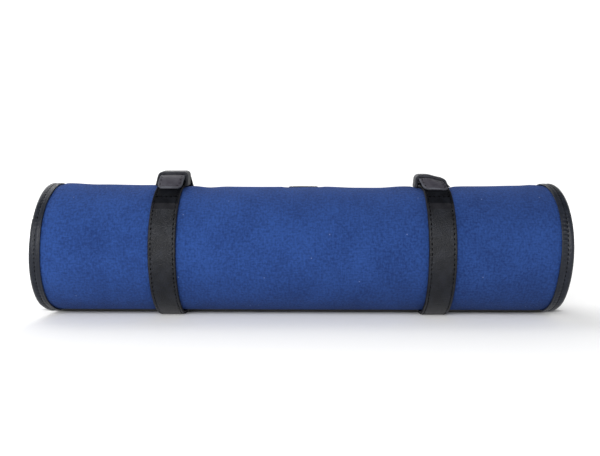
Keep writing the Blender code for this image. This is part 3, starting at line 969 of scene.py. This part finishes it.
def face_height(plane):
    """Height of points (y, z) over the front strap's face, and their angle round the roll."""
    off = plane - AXIS
    angle = np.degrees(np.arctan2(off[..., 1], -off[..., 0]))
    reach = np.linalg.norm(off, axis=-1)
    return reach - canvas_radius(angle + 360 - LEADING_ANGLE) - STRAP_PROUD, angle


def settle(side, points, height=None, shifted=True):
    """Moves a closure's points to where the pulled strap lets them lie. Points that have to keep
    their distances share a height over the front strap's face."""
    root, tip, drop, roll = LEAN[side]
    own, angle = face_height(points[..., 1:])
    height = own if height is None else height
    ahead = smooth((LEADING_ANGLE - 4 - angle) / 30)
    high = np.clip(height / 6, 0, 1)
    middle = STRAP_CENTRES[side] + (0.0 if shifted else root * high)
    right = smooth((points[..., 0] - middle + 3) / 12)
    down = drop * np.clip(height / 3.4, 0, 1) + roll * high * right
    down = down * ahead + SUNK[side] * sink(angle + 360 - LEADING_ANGLE)
    moved = points.copy()
    if shifted:
        moved[..., 0] += (tip + (root - tip) * high) * ahead
    moved[..., 1:] -= radial(angle) * down[..., None]
    return moved


def tail_line():
    """The strap over the leading edge and into the keeper, as points, ways out and lengths."""
    wound = spread(STRIP_WOUND / 2, 0.0, STRAP_STEP)
    line, outs = strap_line(wound)
    start = line[-1]
    end = AXIS + SNAP_OUT * TAIL_MIDDLE - SNAP_FORWARD * TAIL_END
    reach = np.linalg.norm(end - start) / 3
    handle_out = start + forward(LEADING_ANGLE) * reach
    handle_in = end - SNAP_FORWARD * reach
    t = np.linspace(0, 1, 19)[1:, None]
    u = 1 - t
    curve = start * u**3 + handle_out * 3 * u * u * t + handle_in * 3 * u * t * t + end * t**3
    way = (handle_out - start) * u * u + (handle_in - handle_out) * 2 * u * t + (end - handle_in) * t * t
    curve_outs = unit(np.stack([way[:, 1], -way[:, 0]], -1))
    ahead = np.linspace(0, 2 * TAIL_END - TAB_INSIDE, 6)[1:, None]
    line = np.concatenate([line, curve, end + SNAP_FORWARD * ahead])
    outs = np.concatenate([outs, curve_outs, np.tile(SNAP_OUT, (len(ahead), 1))])
    return line, outs, path_lengths(line) - arc(STRIP_WOUND / 2)


def tail(side):
    centre = STRAP_CENTRES[side]
    line, outs, vs = tail_line()
    shape = Shape()
    before = strap_line(np.array(STRIP_WOUND / 2 + STRAP_STEP))
    taper = smooth((vs - vs[0]) / (vs[-1] - vs[0] - 2 * TAIL_END) * 1.1 - 0.1)
    width = 1 + (TAB_WIDTH / STRAP_WIDTH - 1) * taper
    scale = [(share, 1.0) for share in width]

    def move(points):
        return settle(side, points)

    ribbon(shape, centre, line, outs, strap_outline(STRAP_WIDTH / 2), vs, before, None, scale, move)
    edge_rows(shape, centre, STRAP_ROWS * width, line, outs, vs, skip=(0.0, 2.0), move=move)
    made = shape.make(f"{side}_tail", STRAPS)
    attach(made, STRIP_BODIES[-1])
    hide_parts(f"{side}_strap_tail")


def thinned(to_end, reach):
    """A leather's share of its thickness near its rounded end."""
    return np.sqrt(np.clip(1 - (1 - np.clip(to_end / reach, 0.0, 1)) ** 2, 0.09, 1))


def tab_path(steps):
    """The pull tab's middle line: straight out of the keeper, then bent down over the strap."""
    along = np.concatenate([[-TAB_INSIDE, -TAB_INSIDE / 2], np.linspace(0, TAB_LENGTH, steps)])
    fine = np.linspace(0, TAB_LENGTH, 400)
    angle = SNAP_ANGLE - TAB_BEND * np.clip(fine / TAB_BEND_LENGTH, 0, 1)
    steps_along = forward((angle[1:] + angle[:-1]) / 2) * (fine[1] - fine[0])
    walked = np.concatenate([[[0.0, 0.0]], np.cumsum(steps_along, 0)])
    start = AXIS + SNAP_OUT * TAIL_MIDDLE + SNAP_FORWARD * TAB_START
    bent = np.stack([np.interp(along, fine, walked[:, axis]) for axis in (0, 1)], -1)
    line = start + bent + SNAP_FORWARD * np.minimum(along, 0.0)[:, None]
    outs = radial(SNAP_ANGLE - TAB_BEND * np.clip(along / TAB_BEND_LENGTH, 0, 1))
    return along, line, outs


def pull_tab(side):
    centre = STRAP_CENTRES[side]
    along, line, outs = tab_path(34)
    to_end = TAB_LENGTH - along
    cut = np.clip(TAB_CORNER - to_end, 0, TAB_CORNER)
    half = TAB_HALF - TAB_CORNER + np.sqrt(TAB_CORNER**2 - cut**2)
    thick = thinned(to_end, 0.8)
    shape = Shape()
    scale = list(zip(half / TAB_HALF, thick))
    heights = face_height(line)[0]

    def move(rings):
        return settle(side, rings, heights[:, None])

    face = np.where(to_end[1:] < 0.7, EDGE_SLOT, 0)
    ribbon(shape, centre, line, outs, strap_outline(TAB_HALF), along, scale=scale, move=move, face=face)
    inset = EDGE_STITCHES - 0.2
    places, ways = tab_stitches(TAB_HALF - inset, TAB_CORNER - inset)
    sampled = [np.interp(places[:, 1], along, values) for values in (*line.T, *outs.T, heights)]
    point, out = np.stack(sampled[:2], -1), unit(np.stack(sampled[2:4], -1))
    down = np.stack([-out[:, 1], out[:, 0]], -1)
    world = np.insert(point + out * (STRAP / 2 - 0.04), 0, centre + places[:, 0], 1)
    way = np.insert(down * ways[:, 1:], 0, ways[:, 0], 1)
    world = settle(side, world, sampled[4])
    shape.stitches(world, way, np.insert(out, 0, 0.0, 1), radius=0.28)
    made = shape.make(f"{side}_tab_leather", TABS)
    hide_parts(f"{side}_pull_tab")
    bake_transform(made)


def tab_stitches(half, corner):
    """Places (across, along) and ways of the stitches on a tab's U-shaped stitch line."""
    turned = np.radians(np.arange(91))
    bend = corner * np.stack([1 - np.cos(turned), np.sin(turned)], -1)
    left = np.concatenate([[(-half, 0.0)], bend + (-half, TAB_LENGTH - TAB_CORNER)])
    line = np.concatenate([left, left[::-1] * (-1, 1)])
    lengths = path_lengths(line)

    def at(stops):
        return np.stack([np.interp(stops, lengths, line[:, axis]) for axis in (0, 1)], -1)

    stops = np.arange(0.5 * STITCH_PITCH, lengths[-1], STITCH_PITCH)
    return at(stops), at(stops + 0.02) - at(stops - 0.02)


def rounded_path(corners, rounding, steps=7):
    """A polyline (along the roll, height) whose inner corners are rounded off."""
    corners = np.array(corners, float)
    path = [corners[0]]
    for before, corner, after in zip(corners, corners[1:], corners[2:]):
        ends = [corner + unit(other - corner) * rounding for other in (before, after)]
        for t in np.linspace(0, 1, steps):
            path.append(ends[0] * (1 - t) ** 2 + corner * 2 * t * (1 - t) + ends[1] * t * t)
    path = np.array(path + [corners[-1]])
    lengths = path_lengths(path)
    along = spread(0.0, lengths[-1], 1.0)
    return np.stack([np.interp(along, lengths, path[:, axis]) for axis in (0, 1)], -1), along


def band(shape, side, path, along, thickness, shifted):
    """A flat band of the keeper, as deep as the keeper, along a path (along the roll, height)."""
    edge = 0.5
    turned = np.radians(np.arange(0, 360, 22.5) + 11.25)
    deep = np.sign(np.cos(turned)) * (KEEPER_WIDTH / 2 - edge) + edge * np.cos(turned)
    thick = np.sign(np.sin(turned)) * (thickness / 2 - edge) + edge * np.sin(turned)
    ways = unit(np.gradient(path, axis=0))
    rings = []
    for point, way in zip(path, ways):
        x = STRAP_CENTRES[side] + point[0] - way[1] * thick
        height = point[1] + way[0] * thick
        plane = AXIS + SNAP_OUT * height[:, None] + SNAP_FORWARD * deep[:, None]
        rings.append(np.insert(plane, 0, x, 1))
    rings = settle(side, np.array(rings), shifted=shifted)
    shape.sweep(rings, ring_lengths(np.stack([deep, thick], -1)), along)


def keeper(side):
    """A leather loop: an arch over the strap's end, down to the roll on both sides of the front
    strap, and an inner band that holds the snap's cap."""
    shift = LEAN[side][0]
    half, top = TAB_HALF + GAP + KEEPER / 2 + 0.05, KEEPER_TOP - KEEPER / 2 + 0.1
    foot = canvas_radius(SNAP_WOUND) + STRAP_PROUD - 1.0
    left, right = FEET[side]
    corners = [(left, foot), (shift - half, top), (shift + half, top), (right, foot)]
    shape = Shape()
    band(shape, side, *rounded_path(corners, 2.6), KEEPER + 0.3, False)
    inner = KEEPER_BOTTOM + KEEPER_LOWER / 2
    reach = spread(-half, half, 1.5)
    path = np.stack([reach, np.full(len(reach), inner)], -1)
    band(shape, side, path, reach + half, KEEPER_LOWER, True)
    made = shape.make(f"{side}_keeper_loop", [LEATHER["keeper_leather"]])
    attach(made, STRIP_BODIES[-1])
    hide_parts(f"{side}_keeper")


def lathe(name, side, bottom, profile, body, node):
    """A turned disc on the snap's axis. The profile is (radius, height) from its foot to its top."""
    centre = np.array([STRAP_CENTRES[side], *(AXIS + SNAP_OUT * bottom)])
    out = np.array([0.0, *SNAP_OUT])
    ahead = np.array([0.0, *SNAP_FORWARD])
    across = np.array([1.0, 0.0, 0.0])
    profile = np.array(profile)
    turned = np.radians(np.arange(0, 360, 7.5))
    circle = np.cos(turned)[:, None] * across + np.sin(turned)[:, None] * ahead
    rings = np.stack([centre + out * height + circle * radius for radius, height in profile])
    us = np.linspace(0, 2 * math.pi * SNAP_RADIUS, len(turned) + 1)
    shape = Shape()
    shape.sweep(rings, us, path_lengths(profile))
    made = shape.make(name, [GUNMETAL])
    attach(made, body)
    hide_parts(node)


def snaps(side):
    base = [(6.6, 0.0), (7.0, 0.15), (7.0, 0.8), (6.8, 1.0), (5.6, 1.05), (5.3, 0.9), (3.2, 0.9)]
    base += [(3.0, 1.05), (2.8, 1.5), (2.5, 1.6), (0.6, 1.6)]
    cap = [(2.9, 0.9), (3.1, 0.05), (5.4, 0.0), (6.8, 0.1), (7.0, 0.3), (7.0, 1.0), (6.5, 1.3)]
    cap += [(0.8, 1.35)]
    scale = SNAP_SCALE[side]
    bottom = BASE_BOTTOM - SUNK[side]
    top = bottom + scale * (CAP_BOTTOM - BASE_BOTTOM)
    base, cap = ([(radius, scale * height) for radius, height in rows] for rows in (base, cap))
    lathe(f"{side}_snap_stud", side, bottom, base, "roll", f"{side}_snap_base")
    lathe(f"{side}_snap_socket", side, top, cap, STRIP_BODIES[-1], f"{side}_snap_cap")


def top_patch():
    """A blank leather patch with a stitched border."""
    low, high = (angle + 360 - LEADING_ANGLE for angle in PATCH_ANGLES)
    half = PATCH_WIDTH / 2
    outline = strap_outline(half, PATCH_THICKNESS)
    wound = spread(low, high, 0.9)
    height = np.full(len(wound), GAP + PATCH_THICKNESS / 2 - PATCH_SUNK)
    line, outs = strap_line(wound, height)
    vs = arc(wound)
    to_end = np.minimum(vs - vs[0], vs[-1] - vs)
    cut = np.clip(2.0 - to_end, 0, 2.0)
    width = (half - 2.0 + np.sqrt(4.0 - cut**2)) / half
    thick = thinned(to_end, 0.7)
    shape = Shape()
    ribbon(shape, PATCH_CENTRE, line, outs, outline, vs, scale=list(zip(width, thick)))
    reach = half - EDGE_STITCHES
    edge_rows(shape, PATCH_CENTRE, reach, line, outs, vs, PATCH_THICKNESS, (1.5, 1.5))
    rows = np.arange(-half + 4, half - 3, STITCH_PITCH)
    for angle in (low + 2.6, high - 2.6):
        point, out = strap_line(np.array(angle), np.array(GAP + PATCH_THICKNESS + 0.1 - PATCH_SUNK))
        shape.row_across(np.array([[PATCH_CENTRE + x, *point] for x in rows]), out)
    made = shape.make("top_patch_leather", STRAPS)
    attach(made, "roll")
    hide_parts("top_patch")


# ---- studio


FLOOR_BACK = 2.0  # how far the floor's middle lies behind the case
PAPER = (0.93, 0.93, 0.93)
# Each light's place, the point that it shines on, its size and its power, in metres and watts
LIGHTS = {
    "overhead": ((-0.5, 0.5, 1.15), (0, 0, 0), 1.0, 6.0),
    "rim": ((-0.2, 1.15, 0.87), (0, 0, 0.05), 0.45, 3.2),
    "front_fill": ((-0.28, -1.45, 0.55), (0, 0, 0.05), 0.6, 14.7),
}
CAMERA_OFF = (0.0074, -0.5158, 0.0847)  # along the roll, from its axis to the front, and height
CAMERA_DOWN, CAMERA_TURN = 2.4, 0.88
LENS = 41.56


def studio():
    scene = bpy.context.scene
    scene.view_settings.view_transform = "Standard"
    scene.world = sky()
    bpy.ops.mesh.primitive_plane_add(size=8, location=(0, FLOOR_BACK, 0))
    floor = bpy.context.object
    floor.name = "floor"
    floor.data.materials.append(floor_material())
    for name, light in LIGHTS.items():
        add_light(name, *light)


def floor_material():
    """White paper, painted almost black as shadow in a narrow strip right under the case, and with a
    painted glow that grows away from it, so that it looks lit more and more evenly.
    """
    shader = Shader("white_floor", PAPER, 0.85)
    split = shader.node("SeparateXYZ", Vector=shader.node("TexCoord").outputs["Object"])

    def away(behind, half, narrow):
        """Distance from a line under the case, which is twice half long."""
        sideways = shader.math("ABSOLUTE", split.outputs[0])
        sideways = shader.math("MAXIMUM", shader.math("SUBTRACT", sideways, half), 0.0)
        sideways = shader.times(sideways, narrow)
        ahead = shader.plus(split.outputs[1], FLOOR_BACK - behind)
        return shader.math("SQRT", shader.plus(*(shader.times(side, side) for side in (sideways, ahead))))

    # painted shadow: the paper's colour, and with it its glow, falls almost to black in a narrow strip
    # under the case
    outside_painted_shadow = shader.remap(away(0.009, 0.17, 0.4), 0.0064, 0.0134, 0.012, 1.0)
    # painted glow: the paper gives off light, none close to the case and more and more farther from it
    near = shader.remap(away(0.0, 0.15, 0.3), 0.002, 0.018, 0.0, 1.0)
    painted_glow = shader.remap(away(0.0, 0.0, 1.0), 0.2, 1.7, 0.17, 0.8)
    colour = shader.mix(outside_painted_shadow, (0, 0, 0, 1), (*PAPER, 1))
    shader.set(Base_Color=colour, Specular_IOR_Level=0.2, Emission_Color=(1, 1, 1, 1))
    shader.set(Emission_Strength=shader.times(shader.times(painted_glow, near), outside_painted_shadow))
    return shader.material


def sky():
    """A studio that is white near the horizon, dim overhead and a little brighter on the left."""
    world = bpy.data.worlds.new("studio")
    world.use_nodes = True
    tree = Tree(world.node_tree)
    split = tree.node("SeparateXYZ", Vector=tree.node("TexCoord").outputs["Generated"])
    fade = tree.remap(split.outputs["Z"], 0.36, 0.85, 1.0, 0.12)
    lean = tree.math("MULTIPLY_ADD", split.outputs["X"], -0.2, 1.2)
    background = world.node_tree.nodes["Background"]
    tree.put(background.inputs["Strength"], tree.times(fade, lean))
    tree.put(background.inputs["Color"], (1, 1, 1, 1))
    return world


def add_light(name, place, target, size, power):
    data = bpy.data.lights.new(name, "AREA")
    data.size = size
    data.energy = power
    lamp = bpy.data.objects.new(name, data)
    bpy.context.scene.collection.objects.link(lamp)
    lamp.location = place
    way = Vector(target) - Vector(place)
    lamp.rotation_euler = way.to_track_quat("-Z", "Y").to_euler()


def camera():
    data = bpy.data.cameras.new("camera")
    data.sensor_width = 36.0
    data.lens = LENS
    made = bpy.data.objects.new("camera", data)
    bpy.context.scene.collection.objects.link(made)
    made.location = Vector(CAMERA_OFF) + Vector((0, AXIS[0] * MM, 0))
    made.rotation_euler = (math.radians(90 - CAMERA_DOWN), 0.0, math.radians(CAMERA_TURN))
    bpy.context.scene.camera = made


def build():
    cloth_layer("canvas_cloth", 0.0, CANVAS, 101, CANVAS_CLOTH, "canvas")
    felt_depth = CANVAS + GAP
    cloth_layer("felt_layer", felt_depth, INTERLINING, 25, FELT, "interlining")
    lining_depth = felt_depth + INTERLINING + GAP
    cloth_layer("lining_cloth", lining_depth, LINING, 81, LINING_CLOTH, "lining")
    inner_panel("pocket_cloth", *POCKET_RANGE, POCKET_TURNS, SHEET + GAP, "pocket_panel")
    inner_panel("guard_cloth", *GUARD_RANGE, GUARD_TURNS, SHEET + GAP + POCKET + GAP, "brush_guard")
    for side_name, side in (("left", -1), ("right", 1)):
        for number, stretch in enumerate(STRETCHES):
            edge_binding(side_name, side, number, stretch)
    cross_binding("leading_edge_binding", 0.0, 1, STRIP_BODIES[-1])
    cross_binding("inner_edge_binding", WOUND, -1, "roll")
    for side in STRAP_CENTRES:
        strap_pieces(side)
        tail(side)
        pull_tab(side)
        keeper(side)
        snaps(side)
    top_patch()


build()
studio()
camera()
bpy.context.view_layer.update()
